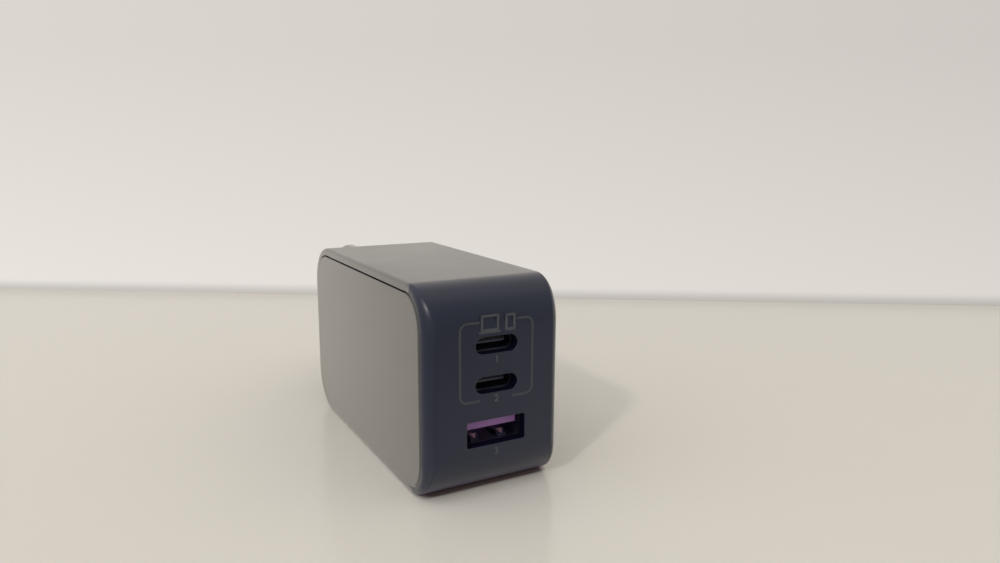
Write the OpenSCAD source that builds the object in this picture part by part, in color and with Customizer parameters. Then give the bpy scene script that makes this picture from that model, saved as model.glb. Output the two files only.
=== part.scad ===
// Compact wall charger with two small sockets, one wide socket and a fixed two-pin plug.
// It stands on a narrow long side. X runs across the socket face, Y from the socket face
// to the plug, and Z up. The origin is the middle of the face that it stands on.

/* [Body] */
// Width across the socket face
body_w = 29.4; // [28:0.1:34]
// Height of the socket face
body_h = 42; // [41:0.5:48]
// Length from the socket face to the rear face
body_l = 71; // [68:0.5:90]
// Radius of the two long corners at the socket face
front_corner_r = 8.8; // [6:0.1:9.4]
// Radius of the two long corners at the rear face
rear_corner_r = 9.8; // [6:0.1:11]
// Radius of the edges between the wrap and the side faces
edge_r = 1.2; // [0.6:0.1:1.3]
// Wall of the wrap
wall_t = 2.2; // [1.8:0.1:2.6]

/* [Side panels] */
// Thickness of a side panel
panel_t = 1.8; // [1.4:0.1:2.4]
// Width of the wrap's rim below and behind a side panel
panel_margin = 1.35; // [1.2:0.05:1.6]
// Width of the wrap's rim above a side panel
panel_top_margin = 1.7; // [1.2:0.05:2.0]
// Width of the rim between a side panel and the socket face
panel_front_margin = 2.7; // [2.3:0.1:3.2]
// Radius of a side panel's two corners at the socket face
panel_corner_r = 6.5; // [5:0.1:7.4]
// Gap between a side panel and the rim
panel_gap = 0.16; // [0.1:0.02:0.3]
// Radius of a side panel's outer edge
panel_edge_r = 0.5; // [0.2:0.1:1]
// Depth of the skirt inside a side panel
skirt_d = 2.5; // [1.5:0.1:3.5]
// Thickness of the skirt
skirt_t = 1.1; // [0.8:0.1:1.6]
// Gap between the skirt and the wrap's wall
skirt_gap = 0.1; // [0.05:0.05:0.3]
// Width of the ribs inside a side panel
rib_w = 1.0; // [0.8:0.1:1.6]
// Spacing of the ribs
rib_pitch = 12; // [9:0.5:16]
// Length of a snap hook on the skirt
hook_l = 6; // [4:0.5:9]
// Width of a snap hook
hook_w = 1.0; // [0.8:0.1:1.4]
// How far a snap hook stands out into its slot
hook_d = 0.5; // [0.3:0.05:0.7]

/* [Small sockets] */
// Width of the opening in the wrap
usb_c_open_w = 9.1; // [8.95:0.05:9.6]
// Height of the opening in the wrap
usb_c_open_h = 3.3; // [3.2:0.05:3.6]
// Outer width of the metal shell
usb_c_shell_w = 8.94; // [8.8:0.02:9.1]
// Outer height of the metal shell
usb_c_shell_h = 3.2; // [3.1:0.02:3.3]
// Width of the tongue
usb_c_tongue_w = 6.69; // [6.6:0.01:6.8]
// Thickness of the tongue
usb_c_tongue_t = 0.7; // [0.6:0.02:0.8]
// How far the tongue stays behind the shell's mouth
usb_c_tongue_set = 0.7; // [0.4:0.1:1.2]
// Height of the upper socket's middle
usb_c_upper_z = 30.35; // [29:0.05:31.5]
// Height of the lower socket's middle
usb_c_lower_z = 22.6; // [21:0.05:24]
// Number of contacts on each side of the tongue
usb_c_contact_n = 12; // [10:1:12]
// Spacing of the contacts
usb_c_contact_pitch = 0.5; // [0.45:0.01:0.5]
// Width of a contact
usb_c_contact_w = 0.25; // [0.2:0.01:0.3]

/* [Wide socket] */
// Width of the opening in the wrap
usb_a_open_w = 12.7; // [12.5:0.05:13.2]
// Height of the opening in the wrap
usb_a_open_h = 5.15; // [5.12:0.01:5.6]
// Corner radius of the opening
usb_a_open_r = 0.35; // [0.2:0.05:0.8]
// Inner width of the metal shell
usb_a_in_w = 12.5; // [12.4:0.05:12.7]
// Inner height of the metal shell
usb_a_in_h = 5.12; // [5.1:0.01:5.3]
// Height of the socket's middle
usb_a_z = 13.05; // [12.5:0.05:14]
// Width of the coloured tongue
usb_a_tongue_w = 11.1; // [10.9:0.05:11.3]
// Thickness of the coloured tongue
usb_a_tongue_t = 1.84; // [1.7:0.02:2]
// Space above the tongue
usb_a_tongue_drop = 0.5; // [0.4:0.05:0.8]
// How far the tongue stays behind the shell's mouth
usb_a_tongue_set = 0.3; // [0.2:0.1:1.2]
// Width of a contact under the tongue
usb_a_contact_w = 1.0; // [0.8:0.05:1.2]
// Distance between the two outer contacts
usb_a_contact_span = 7; // [6.8:0.1:7.2]
// Distance between the two inner contacts
usb_a_contact_pitch = 2; // [1.9:0.1:2.1]
// Distance of the contacts behind the tongue's tip
usb_a_contact_set = 2.4; // [2:0.1:3]
// Length of a front contact
usb_a_pad_l = 1.3; // [1:0.1:1.5]
// Distance of the front contacts behind the tongue's tip
usb_a_pad_set = 0.6; // [0.4:0.1:1]
// Width of a holding spring in the shell's floor
usb_a_spring_w = 2.0; // [1.5:0.1:2.5]
// Distance of a holding spring from the middle
usb_a_spring_x = 3.0; // [2.5:0.1:3.8]
// How far a holding spring's crest rises above the floor
usb_a_spring_rise = 1.0; // [0.5:0.05:1.2]
// Distance of the spring's root behind the shell's mouth
usb_a_spring_root = 6.2; // [5:0.1:6.8]
// Distance of the spring's crest behind the mouth
usb_a_spring_crest = 2.3; // [2:0.1:3]
// Distance of the spring's free end behind the mouth
usb_a_spring_end = 1.1; // [0.8:0.1:1.4]
// Width of the slots that free a spring from the floor
usb_a_spring_slot = 0.35; // [0.25:0.05:0.5]

/* [Socket mounting] */
// Sheet thickness of the metal shells
shell_t = 0.3; // [0.2:0.02:0.4]
// Length of the sockets behind the wall
socket_l = 10.5; // [9.5:0.1:12]
// Length of the moulded base behind each tongue
socket_base_l = 3.2; // [2.5:0.1:4]
// Thickness of a contact strip
contact_t = 0.08; // [0.05:0.01:0.12]

/* [Plug] */
// Length of the raised plug base
base_l = 17; // [15:0.5:19]
// Height of the plug base
base_h = 36; // [34.6:0.1:36]
// Width of the plug base
base_w = 13.7; // [13:0.1:14.4]
// Radius of the plug base's upper and lower ends
base_end_r = 4.5; // [4:0.1:6]
// Radius of the plug base's side corners
base_side_r = 1.6; // [1:0.1:3]
// Height of the straight flanks of the plug base
base_flat_h = 26.1; // [24:0.1:27]
// Thickness of the base's flange behind the rear wall
flange_t = 2.0; // [1.5:0.1:3]
// Clearance between the flange and the side panels' skirts
flange_gap = 0.4; // [0.3:0.1:1]
// Gap between the plug base and its window
base_gap = 0.1; // [0.05:0.05:0.3]
// Distance between the two pins
pin_pitch = 18.6; // [18:0.1:19.2]
// Radius of a pin's bare end
pin_r = 2.0; // [1.9:0.05:2.45]
// Length of a pin outside the base
pin_l = 19; // [18.5:0.1:20]
// Length of the insulating sleeve
sleeve_l = 10; // [9:0.5:11]
// Radius of the insulating sleeve, a little under the pin's bare end
sleeve_r = 1.8; // [1.7:0.05:1.8]
// Radius of the pin inside its sleeve and base
shank_r = 1.5; // [1.2:0.05:1.6]
// Radius of the collar that holds a pin in the base
collar_r = 2.6; // [2.2:0.1:3]
// Length of the collar
collar_l = 1.4; // [1:0.1:2]
// Length of the pin's stub behind the collar
stub_l = 1.6; // [1:0.1:2.4]
// Clearance round a pin
pin_clear = 0.02; // [0.01:0.01:0.05]
// Width of a contact strip behind a pin
strip_w = 4.6; // [4:0.1:5]
// Thickness of a contact strip behind a pin
strip_t = 0.5; // [0.4:0.05:0.6]

/* [Boards] */
// Thickness of the circuit boards
board_t = 1.6; // [1:0.1:2]
// Clearance between a board and the wrap
board_gap = 0.2; // [0.1:0.05:0.4]
// Gap between the main board and the skirt
board_seat = 0.1; // [0.05:0.05:0.3]
// Space between the main board and the flange
board_rear = 0.3; // [0.2:0.1:0.8]
// Height of the rails that hold the boards
rail_h = 1.4; // [1:0.1:1.8]
// Width of a rail
rail_w = 1.0; // [0.8:0.1:1.4]

/* [Parts on the boards] */
// Reach of the right panel's ribs to the insulating sheet
right_rib_h = 2.0; // [1.4:0.1:3]
// Clearance between neighbouring parts
part_gap = 0.7; // [0.5:0.05:0.9]
// Share of the row of parts that the output capacitors take
output_cap_share = 0.146; // [0.13:0.002:0.148]
// Share of the row that the transformer takes, its bobbin's rails included
transformer_share = 0.462; // [0.44:0.002:0.464]
// Share of the row that the input capacitors take
input_cap_share = 0.254; // [0.24:0.002:0.256]
// Width of the transformer
transformer_w = 21; // [18:0.5:22]
// Space under the transformer core and round the bobbin's rails
core_lift = 0.3; // [0.2:0.05:0.6]
// Thickness of the bobbin's two rails
bobbin_rail_t = 1.2; // [1:0.1:1.6]
// Wall of the bobbin
bobbin_t = 0.7; // [0.5:0.1:1]
// Clearance between the coil, the bobbin and the core
coil_gap = 0.15; // [0.1:0.05:0.2]
// Thickness of the choke's winding over its ring
choke_wire_t = 0.8; // [0.5:0.1:1]
// Length of the film capacitor
film_cap_l = 10; // [8:0.5:11]
// Length of the bridge rectifier
rectifier_l = 8; // [7:0.5:9]
// Thickness of the bridge rectifier
rectifier_t = 2.4; // [2:0.1:3]
// Length of the fuse
fuse_l = 8; // [7:0.5:9]
// Width of the power chip
power_chip_w = 6; // [5:0.1:6.4]
// Length of the power chip
power_chip_l = 5; // [4:0.1:6]
// Side of the control chip
control_chip_w = 5; // [4:0.1:6]
// Thickness of the chips
chip_t = 1.0; // [0.8:0.05:1.2]
// Thickness of the pad on the transformer
pad_t = 0.8; // [0.5:0.1:1]
// Thickness of the heat spreader
spreader_t = 0.8; // [0.5:0.1:1]
// Depth of the heat spreader's folded edge
spreader_fold = 3; // [2:0.1:4]
// Clearance between the heat spreader and the panel's skirt
spreader_gap = 0.6; // [0.4:0.1:1]
// Thickness of the insulating sheet
sheet_t = 0.4; // [0.2:0.05:0.5]
// Clearance between the insulating sheet and the panel's skirt
sheet_gap = 0.3; // [0.2:0.05:0.6]

/* [Hidden] */
$fn = 64;
eps = 0.01;

// Outer faces and the faces that follow from them
y_front = -body_l / 2;
y_rear = body_l / 2;
y_in_front = y_front + wall_t;
y_in_rear = y_rear - wall_t;
x_side = body_w / 2;
x_panel = x_side - panel_t;
x_skirt = x_panel - skirt_d;
z_mid = body_h / 2;
// Sockets run from the wall to the socket board
y_socket_board = y_in_front + socket_l;
y_main_front = y_socket_board + board_t;
// Plug base, flange and pins
y_flange = y_in_rear - flange_t;
y_base_end = y_rear + base_l;
y_pin_shoulder = y_base_end + sleeve_l;
y_pin_tip = y_base_end + pin_l;
y_collar = y_flange - collar_l;
y_stub = y_collar - stub_l;
y_main_rear = y_flange - board_rear;
upper_pin_z = z_mid + pin_pitch / 2;
lower_pin_z = z_mid - pin_pitch / 2;
// Main board and what stands on it, from the left skirt to the right panel's ribs
x_board = -x_skirt + board_seat;
x_top = x_board + board_t;
x_sheet = x_panel - right_rib_h - sheet_t;
x_spreader = x_sheet - spreader_t;
x_pad = x_spreader - pad_t;
transformer_h = x_pad - x_top;
// Foot of the contact strips on the main board, behind the row of parts
contact_foot_l = 1.5;
y_contact_foot = y_stub - strip_t - contact_foot_l;
// Rows of parts on the main board, from the socket end to the plug end
row_l = y_contact_foot - y_main_front - rail_w - 5 * part_gap;
output_cap_r = row_l * output_cap_share / 2;
transformer_half = row_l * transformer_share / 2;
input_cap_r = row_l * input_cap_share / 2;
choke_half = row_l * (1 - output_cap_share - transformer_share - input_cap_share) / 2;
y_output_cap = y_main_front + rail_w + part_gap + output_cap_r;
y_transformer = y_output_cap + output_cap_r + part_gap + transformer_half;
y_input_cap = y_transformer + transformer_half + part_gap + input_cap_r;
y_choke = y_input_cap + input_cap_r + part_gap + choke_half;
input_cap_dz = input_cap_r + part_gap / 2;
// Transformer core and the room in it for the coil
transformer_l = 2 * (transformer_half - core_lift - bobbin_rail_t);
core_t = transformer_w * 0.133;
core_post_r = transformer_w * 0.162;
coil_x0 = core_lift + core_t;
coil_x1 = transformer_h - core_t;
coil_r = transformer_w * 0.343;
bobbin_rail_w = coil_r * 1.4;
// Heights of the other parts above the main board
input_cap_l = transformer_h * 0.93;
output_cap_l = transformer_h * 0.68;
film_cap_h = transformer_h * 0.68;
// Fuse above and rectifier below the input capacitors, in what is left up to the rails
cap_side_room = z_mid - wall_t - rail_h - 2 * part_gap - input_cap_dz - input_cap_r;
fuse_r = cap_side_room * 0.36;
rectifier_w = cap_side_room * 0.68;
// Choke ring
winding_fit = 0.03;
choke_r = transformer_h * 0.26;
choke_ring_t = choke_half - choke_wire_t - winding_fit;
// Flange of the plug base, between the two panels' skirts
flange_w = 2 * (x_skirt - flange_gap);
// Rails that hold the main board
rail_l = (y_main_rear - y_main_front) * 0.69;

// Outline seen from the side: a rectangle with one radius at the socket end and one at the rear
module rounded_outline(y0, y1, z0, z1, front_r, rear_r) {
    union() {
        translate([y0 + front_r, z0]) square([y1 - y0 - front_r - rear_r, z1 - z0]);
        translate([y0, z0 + front_r]) square([front_r, z1 - z0 - 2 * front_r]);
        translate([y1 - rear_r, z0 + rear_r]) square([rear_r, z1 - z0 - 2 * rear_r]);
        for (z = [z0 + front_r, z1 - front_r])
            translate([y0 + front_r, z]) circle(front_r);
        for (z = [z0 + rear_r, z1 - rear_r])
            translate([y1 - rear_r, z]) circle(rear_r);
    }
}

// Outline of the wrap, set in from its outer face
module side_outline(inset) {
    rounded_outline(y_front + inset, y_rear - inset, inset, body_h - inset,
        front_corner_r - inset, rear_corner_r - inset);
}

// Outline of a side panel's pocket, set in by a clearance
module panel_outline(inset) {
    rim = panel_margin + inset;
    rounded_outline(y_front + panel_front_margin + inset, y_rear - rim, rim,
        body_h - panel_top_margin - inset, panel_corner_r - inset, rear_corner_r - rim);
}

// Solid with a side outline, from one X to another
module across(x0, x1) {
    translate([x0, 0, 0]) rotate([90, 0, 90]) linear_extrude(x1 - x0) children();
}

// Half section that a long corner is turned from: radius outwards, width both ways
module corner_section(corner_r, r) {
    union() {
        translate([0, -x_side]) square([corner_r - r, body_w]);
        translate([corner_r - r - eps, -x_side + r]) square([r + eps, body_w - 2 * r]);
        for (side = [-1, 1])
            intersection() {
                translate([corner_r - r, side * (x_side - r)]) circle(r);
                translate([corner_r - r, side > 0 ? x_side - r : -x_side]) square(r);
            }
    }
}

// Long corner of the block, turned about an axis along X
module turned_corner(y, z, start, corner_r, r) {
    translate([0, y, z]) rotate([0, 90, 0]) rotate([0, 0, start])
        rotate_extrude(angle = 90, $fn = 96) corner_section(corner_r, r);
}

// Straight stretch of the block between two long corners, with its two edges rounded
module end_slab(y0, y1, z0, z1, r, outward) {
    y_edge = outward > 0 ? y1 - r : y0 + r;
    translate([0, 0, z0]) linear_extrude(z1 - z0) union() {
        translate([-x_side, outward > 0 ? y0 : y_edge])
            square([body_w, y1 - y0 - r]);
        translate([-x_side + r, outward > 0 ? y_edge - eps : y0])
            square([body_w - 2 * r, r + eps]);
        for (side = [-1, 1]) translate([side * (x_side - r), y_edge]) circle(r);
    }
}

// Block with a rounded side outline and edges of radius r along both side faces
module rounded_block(y0, y1, z0, z1, front_r, rear_r, r) {
    translate([0, y1 - rear_r, 0]) rotate([90, 0, 0])
        linear_extrude(y1 - y0 - front_r - rear_r) union() {
            translate([-x_side, z0 + r]) square([body_w, z1 - z0 - 2 * r]);
            translate([-x_side + r, z0]) square([body_w - 2 * r, z1 - z0]);
            for (side = [-1, 1])
                for (z = [z0 + r, z1 - r])
                    translate([side * (x_side - r), z]) circle(r);
        }
    end_slab(y0, y0 + front_r, z0 + front_r, z1 - front_r, r, -1);
    end_slab(y1 - rear_r, y1, z0 + rear_r, z1 - rear_r, r, 1);
    turned_corner(y0 + front_r, z1 - front_r, 180, front_r, r);
    turned_corner(y0 + front_r, z0 + front_r, 270, front_r, r);
    turned_corner(y1 - rear_r, z1 - rear_r, 90, rear_r, r);
    turned_corner(y1 - rear_r, z0 + rear_r, 0, rear_r, r);
}

// Flat shape with round ends
module slot_shape(w, h) {
    union() {
        square([w - h, h], center = true);
        for (side = [-1, 1]) translate([side * (w - h) / 2, 0]) circle(h / 2);
    }
}

// Rectangle with round corners
module round_rectangle(w, h, r) {
    union() {
        square([w - 2 * r, h], center = true);
        square([w, h - 2 * r], center = true);
        for (x = [-1, 1])
            for (y = [-1, 1])
                translate([x * (w / 2 - r), y * (h / 2 - r)]) circle(r);
    }
}

// Solid that runs along Y from one place to another, at a height
module along(y0, y1, z) {
    translate([0, y1, z]) rotate([90, 0, 0]) linear_extrude(y1 - y0) children();
}

// Where a line that touches two circles on the outside meets them
function tangent_points(c1, r1, c2, r2) =
    let (
        d = norm(c2 - c1),
        heading = atan2(c2[1] - c1[1], c2[0] - c1[0]),
        lean = acos((r1 - r2) / d),
        n = [cos(heading - lean), sin(heading - lean)]
    )
    [c1 + r1 * n, c2 + r2 * n];

// Outline of the plug base: straight flanks and rounded upper and lower ends
module base_outline(grow) {
    end_c = [0, base_h / 2 - base_end_r];
    side_c = [base_w / 2 - base_side_r, base_flat_h / 2 - base_side_r];
    end_r = base_end_r + grow;
    side_r = base_side_r + grow;
    slope = tangent_points(side_c, side_r, end_c, end_r);
    union() {
        polygon([
            for (turn = [[1, 1], [-1, 1], [-1, -1], [1, -1]])
                for (p = turn[0] * turn[1] > 0
                        ? [[base_w / 2 + grow, side_c[1]], slope[0], slope[1]]
                        : [slope[1], slope[0], [base_w / 2 + grow, side_c[1]]])
                    [turn[0] * p[0], turn[1] * p[1]]
        ]);
        for (side = [-1, 1]) {
            translate([0, side * end_c[1]]) circle(end_r);
            for (x = [-1, 1]) translate([x * side_c[0], side * side_c[1]]) circle(side_r);
        }
    }
}

// Wrap: socket face, top, rear and underside in one moulding, open at both sides
module housing() {
    color([0.24, 0.24, 0.255])
    difference() {
        union() {
            difference() {
                rounded_block(y_front, y_rear, 0, body_h, front_corner_r, rear_corner_r, edge_r);
                across(-x_panel - eps, x_panel + eps) side_outline(wall_t);
            }
            board_rails();
        }
        for (side = [-1, 1])
            across(side > 0 ? x_panel : -x_side - 1, side > 0 ? x_side + 1 : -x_panel)
                panel_outline(0);
        socket_openings();
        along(y_rear - rear_corner_r, y_rear + 1, z_mid) base_outline(base_gap);
        hook_slots();
    }
}

// Openings of the three sockets through the socket face
module socket_openings() {
    for (z = [usb_c_upper_z, usb_c_lower_z])
        along(y_front - 1, y_in_front + 1, z) slot_shape(usb_c_open_w, usb_c_open_h);
    along(y_front - 1, y_in_front + 1, usb_a_z)
        round_rectangle(usb_a_open_w, usb_a_open_h, usb_a_open_r);
}

// Rails inside the wrap that hold the two boards
module board_rails() {
    for (z = [wall_t - eps, body_h - wall_t - rail_h]) {
        translate([x_top + board_seat, y_main_front + board_seat, z])
            cube([rail_w, rail_l, rail_h + eps]);
        translate([x_top + board_seat, y_main_front + board_seat, z])
            cube([x_skirt - x_top - 2 * board_seat, rail_w, rail_h + eps]);
    }
}

// Places of the snap hooks along a side panel
hook_places = [-body_l / 4, body_l / 4];

// Slots in the wrap's inner wall that the snap hooks click into
module hook_slots() {
    for (side = [0, 1])
        for (y = hook_places)
            for (z = [wall_t - hook_d - skirt_gap, body_h - wall_t - eps])
                mirror([side, 0, 0])
                    translate([x_skirt - skirt_gap, y - hook_l / 2 - skirt_gap, z])
                        cube([hook_w + 2 * skirt_gap, hook_l + 2 * skirt_gap, hook_d + skirt_gap + eps]);
}

// Right side panel with its skirt and hooks, and ribs that reach in to a depth
module side_panel(rib_h) {
    skirt_inset = wall_t + skirt_gap;
    rim = panel_margin + panel_gap;
    union() {
        intersection() {
            rounded_block(y_front + panel_front_margin + panel_gap, y_rear - rim, rim,
                body_h - panel_top_margin - panel_gap, panel_corner_r - panel_gap,
                rear_corner_r - rim, panel_edge_r);
            translate([x_panel, y_front, 0]) cube([panel_t + 1, body_l, body_h]);
        }
        difference() {
            across(x_skirt, x_panel + eps) skirt_outline(0);
            across(x_skirt - 1, x_panel + 1) skirt_outline(skirt_t);
        }
        for (y = hook_places)
            for (z = [wall_t - hook_d, body_h - skirt_inset - eps])
                translate([x_skirt, y - hook_l / 2, z])
                    cube([hook_w, hook_l, hook_d + skirt_gap + eps]);
        for (y = [-rib_pitch, 0, rib_pitch])
            translate([x_panel - rib_h, y - rib_w / 2, skirt_inset + skirt_t - eps])
                cube([rib_h + eps, rib_w, body_h - 2 * (skirt_inset + skirt_t - eps)]);
    }
}

// Outline of the skirt's outer face, set in further for its inner face
module skirt_outline(inset) {
    rim = wall_t + skirt_gap + inset;
    rounded_outline(y_front + panel_front_margin + panel_gap + inset, y_rear - rim, rim, body_h - rim,
        panel_corner_r - panel_gap - inset, rear_corner_r - rim);
}

module left_side_panel() {
    color([0.30, 0.295, 0.30]) mirror([1, 0, 0]) side_panel(rib_w);
}

module right_side_panel() {
    color([0.30, 0.295, 0.30]) side_panel(right_rib_h);
}

// Plug base with its flange behind the rear wall and a bore for each pin
module plug_base() {
    color([0.13, 0.13, 0.14])
    difference() {
        union() {
            along(y_flange, y_base_end, z_mid) base_outline(0);
            intersection() {
                across(-flange_w / 2, flange_w / 2) side_outline(wall_t + base_gap);
                translate([-flange_w / 2, y_flange, 0]) cube([flange_w, flange_t, body_h]);
            }
        }
        for (z = [upper_pin_z, lower_pin_z])
            translate([0, y_flange - 1, z]) rotate([-90, 0, 0])
                cylinder(r = shank_r + pin_clear, h = y_base_end - y_flange + 2);
    }
}

// Plug pin with its round tip, shank, collar and stub
module plug_pin(z) {
    translate([0, 0, z]) union() {
        translate([0, y_stub, 0]) rotate([-90, 0, 0])
            cylinder(r = shank_r, h = y_pin_shoulder - y_stub + eps);
        translate([0, y_collar, 0]) rotate([-90, 0, 0]) cylinder(r = collar_r, h = collar_l);
        translate([0, y_pin_shoulder, 0]) rotate([-90, 0, 0])
            cylinder(r = pin_r, h = y_pin_tip - pin_r - y_pin_shoulder);
        translate([0, y_pin_tip - pin_r, 0]) sphere(pin_r);
    }
}

module upper_plug_pin() {
    color([0.78, 0.78, 0.76]) plug_pin(upper_pin_z);
}

module lower_plug_pin() {
    color([0.78, 0.78, 0.76]) plug_pin(lower_pin_z);
}

// Insulating sleeve round the first stretch of a pin
module pin_sleeve(z) {
    translate([0, y_base_end, z]) rotate([-90, 0, 0]) difference() {
        cylinder(r = sleeve_r, h = sleeve_l);
        translate([0, 0, -1]) cylinder(r = shank_r + pin_clear, h = sleeve_l + 2);
    }
}

module upper_pin_sleeve() {
    color([0.1, 0.1, 0.1]) pin_sleeve(upper_pin_z);
}

module lower_pin_sleeve() {
    color([0.1, 0.1, 0.1]) pin_sleeve(lower_pin_z);
}

// Strip that joins a pin's stub to the main board, with a bent foot on the board
module pin_contact(z) {
    translate([0, 0, z - strip_w / 2]) union() {
        translate([x_top, y_stub - strip_t, 0]) cube([collar_r - x_top, strip_t, strip_w]);
        translate([x_top, y_contact_foot, 0]) cube([strip_t, contact_foot_l + eps, strip_w]);
    }
}

module upper_pin_contact() {
    color([0.72, 0.55, 0.3]) pin_contact(upper_pin_z);
}

module lower_pin_contact() {
    color([0.72, 0.55, 0.3]) pin_contact(lower_pin_z);
}

// Metal shell of a small socket
module small_shell(z) {
    difference() {
        along(y_in_front, y_socket_board, z) slot_shape(usb_c_shell_w, usb_c_shell_h);
        along(y_in_front - 1, y_socket_board + 1, z)
            slot_shape(usb_c_shell_w - 2 * shell_t, usb_c_shell_h - 2 * shell_t);
    }
}

// Moulded base and tongue of a small socket; the tongue's tip is thinned
module small_tongue(z) {
    fit = 0.03;
    tip_l = 0.5;
    y_tip = y_in_front + usb_c_tongue_set;
    y_base = y_socket_board - socket_base_l;
    union() {
        along(y_base, y_socket_board, z)
            slot_shape(usb_c_shell_w - 2 * shell_t - 2 * fit, usb_c_shell_h - 2 * shell_t - 2 * fit);
        along(y_tip + tip_l, y_base + eps, z) square([usb_c_tongue_w, usb_c_tongue_t], center = true);
        along(y_tip, y_tip + tip_l + eps, z)
            square([usb_c_tongue_w - tip_l, usb_c_tongue_t * 0.6], center = true);
    }
}

// Contact strips on both faces of a small socket's tongue
module small_contacts(z) {
    y_tip = y_in_front + usb_c_tongue_set + 0.9;
    y_base = y_socket_board - socket_base_l;
    for (i = [0 : usb_c_contact_n - 1])
        for (side = [0, 1])
            translate([
                (i - (usb_c_contact_n - 1) / 2) * usb_c_contact_pitch - usb_c_contact_w / 2,
                y_tip,
                side > 0 ? z + usb_c_tongue_t / 2 : z - usb_c_tongue_t / 2 - contact_t
            ])
                cube([usb_c_contact_w, y_base - y_tip, contact_t]);
}

module upper_socket_shell() {
    color([0.62, 0.62, 0.64]) small_shell(usb_c_upper_z);
}

module upper_socket_tongue() {
    color([0.1, 0.1, 0.11]) small_tongue(usb_c_upper_z);
}

module upper_socket_contacts() {
    color([0.8, 0.62, 0.3]) small_contacts(usb_c_upper_z);
}

module lower_socket_shell() {
    color([0.62, 0.62, 0.64]) small_shell(usb_c_lower_z);
}

module lower_socket_tongue() {
    color([0.1, 0.1, 0.11]) small_tongue(usb_c_lower_z);
}

module lower_socket_contacts() {
    color([0.8, 0.62, 0.3]) small_contacts(usb_c_lower_z);
}

// Metal shell of the wide socket, with two holding springs bent up from its floor
module wide_socket_shell() {
    out_w = usb_a_in_w + 2 * shell_t;
    out_h = usb_a_in_h + 2 * shell_t;
    corner = 0.5;
    color([0.62, 0.62, 0.64])
    difference() {
        union() {
            difference() {
                along(y_in_front, y_socket_board, usb_a_z)
                    round_rectangle(out_w, out_h, corner);
                along(y_in_front - 1, y_socket_board + 1, usb_a_z)
                    square([usb_a_in_w, usb_a_in_h], center = true);
            }
            for (side = [-1, 1]) holding_spring(side * usb_a_spring_x);
        }
        for (side = [-1, 1]) spring_slots(side * usb_a_spring_x);
    }
}

// Leaf bent up from the shell's floor: a ramp, a crest and a lead-in towards the mouth
module holding_spring(x) {
    floor_z = usb_a_z - usb_a_in_h / 2 - shell_t;
    lip = usb_a_spring_rise * 0.2;
    translate([x - usb_a_spring_w / 2, y_in_front, floor_z])
        rotate([90, 0, 90]) linear_extrude(usb_a_spring_w) polygon([
            [usb_a_spring_root, 0],
            [usb_a_spring_root, shell_t],
            [usb_a_spring_crest, shell_t + usb_a_spring_rise],
            [usb_a_spring_end, shell_t + lip],
            [usb_a_spring_end, lip],
            [usb_a_spring_crest, usb_a_spring_rise],
        ]);
}

// Slots round a leaf that free it from the floor
module spring_slots(x) {
    slot = usb_a_spring_slot;
    y0 = y_in_front + usb_a_spring_end - slot;
    z0 = usb_a_z - usb_a_in_h / 2 - 2 * shell_t;
    for (side = [-1, 1])
        translate([x + side * (usb_a_spring_w + slot) / 2 - slot / 2, y0, z0])
            cube([slot, usb_a_spring_root - usb_a_spring_end + slot, 2 * shell_t + eps]);
    translate([x - usb_a_spring_w / 2 - slot, y0, z0])
        cube([usb_a_spring_w + 2 * slot, slot, 2 * shell_t + eps]);
}

// Coloured base and tongue of the wide socket
module wide_socket_tongue() {
    fit = 0.03;
    z_top = usb_a_z + usb_a_in_h / 2 - usb_a_tongue_drop;
    y_tip = y_in_front + usb_a_tongue_set;
    y_base = y_socket_board - socket_base_l;
    color([0.50, 0.36, 0.55]) union() {
        along(y_base, y_socket_board, usb_a_z)
            square([usb_a_in_w - 2 * fit, usb_a_in_h - 2 * fit], center = true);
        translate([-usb_a_tongue_w / 2, y_tip, z_top - usb_a_tongue_t])
            cube([usb_a_tongue_w, y_base - y_tip + eps, usb_a_tongue_t]);
    }
}

// Four contact strips under the wide tongue and five small ones nearer the mouth
module wide_socket_contacts() {
    z_under = usb_a_z + usb_a_in_h / 2 - usb_a_tongue_drop - usb_a_tongue_t;
    y_tip = y_in_front + usb_a_tongue_set;
    y_base = y_socket_board - socket_base_l;
    y_strip = y_tip + usb_a_contact_set;
    pad_w = usb_a_contact_w / 2;
    color([0.8, 0.62, 0.3]) {
        for (span = [usb_a_contact_span, usb_a_contact_pitch])
            for (side = [-1, 1])
                translate([side * span / 2 - usb_a_contact_w / 2, y_strip, z_under - contact_t])
                    cube([usb_a_contact_w, y_base - y_strip, contact_t]);
        for (i = [-2 : 2])
            translate([i * usb_a_contact_pitch - pad_w / 2, y_tip + usb_a_pad_set, z_under - contact_t])
                cube([pad_w, usb_a_pad_l, contact_t]);
    }
}

// Board behind the sockets
module socket_board() {
    color([0.1, 0.32, 0.2])
    intersection() {
        across(-x_skirt + board_gap, x_skirt - board_gap) side_outline(wall_t + board_gap);
        translate([-x_side, y_socket_board, 0]) cube([body_w, board_t, body_h]);
    }
}

// Main board, standing along the left side
module main_board() {
    color([0.1, 0.32, 0.2])
    intersection() {
        across(x_board, x_top) side_outline(wall_t + board_gap);
        translate([-x_side, y_main_front, 0]) cube([body_w, y_main_rear - y_main_front, body_h]);
    }
}

// Place on the main board: children stand along +X with their foot on it
module on_board(y, z) {
    translate([x_top, y, z]) rotate([0, 90, 0]) children();
}

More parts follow.
